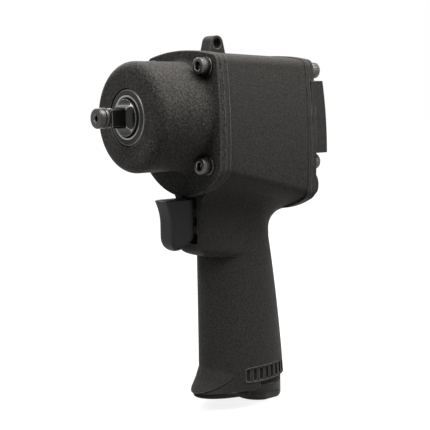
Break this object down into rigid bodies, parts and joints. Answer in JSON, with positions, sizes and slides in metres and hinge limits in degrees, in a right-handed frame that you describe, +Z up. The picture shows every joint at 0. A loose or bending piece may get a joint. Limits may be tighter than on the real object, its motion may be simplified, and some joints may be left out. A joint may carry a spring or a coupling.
{
  "type": "air impact wrench",
  "caption": "Stubby pistol-grip air impact wrench with a square drive, sliding trigger, reversing lever, vane motor and a swinging hammer in a bolted round case.",
  "frame": {"origin": "on the drive axis at the anvil shoulder that a socket stops against", "axes": "-Y out along the drive square, +Z up away from the grip, +X to the tool's left side, which is the side the picture shows"},
  "size_m": [0.0614, 0.1332, 0.1977],
  "materials": {
    "housing_coat": "charcoal fine textured coat on a casting",
    "case_coat": "charcoal coarse textured coat on a casting",
    "cover_coat": "charcoal fine textured coat on a casting",
    "dark_steel": "black oxide",
    "anvil_steel": "ground, partly oiled",
    "bush_steel": "turned",
    "impact_steel": "ground",
    "motor_steel": "ground",
    "bearing_steel": "polished",
    "spring_steel": "drawn wire",
    "valve_steel": "turned",
    "valve_brass": "turned",
    "vane_plastic": "fibre laminate",
    "trigger_plastic": "smooth satin",
    "lever_plastic": "smooth satin",
    "rubber": "plain",
    "gasket": "gasket paper",
    "inlet_steel": "dark anodised, worn at the flats",
    "deflector_plastic": "satin",
    "felt": "pressed felt"
  },
  "bodies": {
    "housing": {"motor_housing": "housing_coat", "hammer_case": "case_coat", "case_gasket": "gasket", "rear_cover": "cover_coat", "rear_gasket": "gasket", "case_screws": "dark_steel", "case_lock_washers": "dark_steel", "rear_screws": "dark_steel", "rear_lock_washers": "dark_steel", "anvil_bush": "bush_steel", "thrust_washer": "bush_steel", "motor_cylinder": "motor_steel", "front_end_plate": "motor_steel", "rear_end_plate": "motor_steel", "cylinder_dowel": "motor_steel", "front_bearing_outer_race": "bearing_steel", "rear_bearing_outer_race": "bearing_steel", "throttle_bush": "inlet_steel", "throttle_o_ring": "rubber", "throttle_spring": "spring_steel", "inlet_bush": "inlet_steel", "inlet_gasket": "gasket", "inlet_screen": "valve_steel", "exhaust_deflector": "deflector_plastic", "deflector_screw": "dark_steel", "exhaust_silencer": "felt"},
    "anvil": {"anvil": "anvil_steel", "socket_ring": "anvil_steel", "socket_ring_cushion": "rubber"},
    "rotor": {"rotor": "motor_steel", "rotor_vanes": "vane_plastic", "hammer_cage": "impact_steel", "hammer_pins": "impact_steel", "front_bearing_inner_race": "bearing_steel", "rear_bearing_inner_race": "bearing_steel"},
    "hammer": {"hammer": "impact_steel"},
    "front_balls": {"front_bearing_balls": "bearing_steel"},
    "rear_balls": {"rear_bearing_balls": "bearing_steel"},
    "trigger": {"trigger": "trigger_plastic", "trigger_stem": "valve_steel", "trigger_guide_pin": "valve_steel"},
    "throttle_valve": {"throttle_valve": "valve_brass"},
    "reverser": {"reverse_lever": "lever_plastic", "reverse_valve": "valve_brass", "lever_screw": "dark_steel", "detent_ball": "bearing_steel", "detent_spring": "spring_steel"}
  },
  "joints": [
    {"name": "anvil_spin", "type": "hinge", "parent": "housing", "child": "anvil", "pos_m": [0, 0, 0], "axis": [0, 1, 0], "continuous": true},
    {"name": "rotor_spin", "type": "hinge", "parent": "housing", "child": "rotor", "pos_m": [0, 0.0742, 0], "axis": [0, 1, 0], "continuous": true},
    {"name": "hammer_swing", "type": "hinge", "parent": "rotor", "child": "hammer", "pos_m": [0, 0.03665, 0.019], "axis": [0, 1, 0], "range_deg": [-4, 4]},
    {"name": "front_balls_spin", "type": "hinge", "parent": "housing", "child": "front_balls", "pos_m": [0, 0.0515, 0], "axis": [0, 1, 0], "continuous": true},
    {"name": "rear_balls_spin", "type": "hinge", "parent": "housing", "child": "rear_balls", "pos_m": [0, 0.0959, 0], "axis": [0, 1, 0], "continuous": true},
    {"name": "trigger_slide", "type": "slide", "parent": "housing", "child": "trigger", "axis": [0, 1, 0], "range_m": [0, 0.006], "stiffness_N_per_m": 800, "springref_m": -0.005},
    {"name": "throttle_valve_slide", "type": "slide", "parent": "housing", "child": "throttle_valve", "axis": [0, 1, 0], "range_m": [0, 0.006], "deforming": ["throttle_spring"]},
    {"name": "reverse_turn", "type": "hinge", "parent": "housing", "child": "reverser", "pos_m": [0, 0.1057, -0.03358], "axis": [0, 1, 0], "range_deg": [0, 49]}
  ],
  "couplings": [
    {"joint": "front_balls_spin", "follows": "rotor_spin", "ratio": 0.39125},
    {"joint": "rear_balls_spin", "follows": "rotor_spin", "ratio": 0.38185},
    {"joint": "throttle_valve_slide", "follows": "trigger_slide", "ratio": 1}
  ]
}
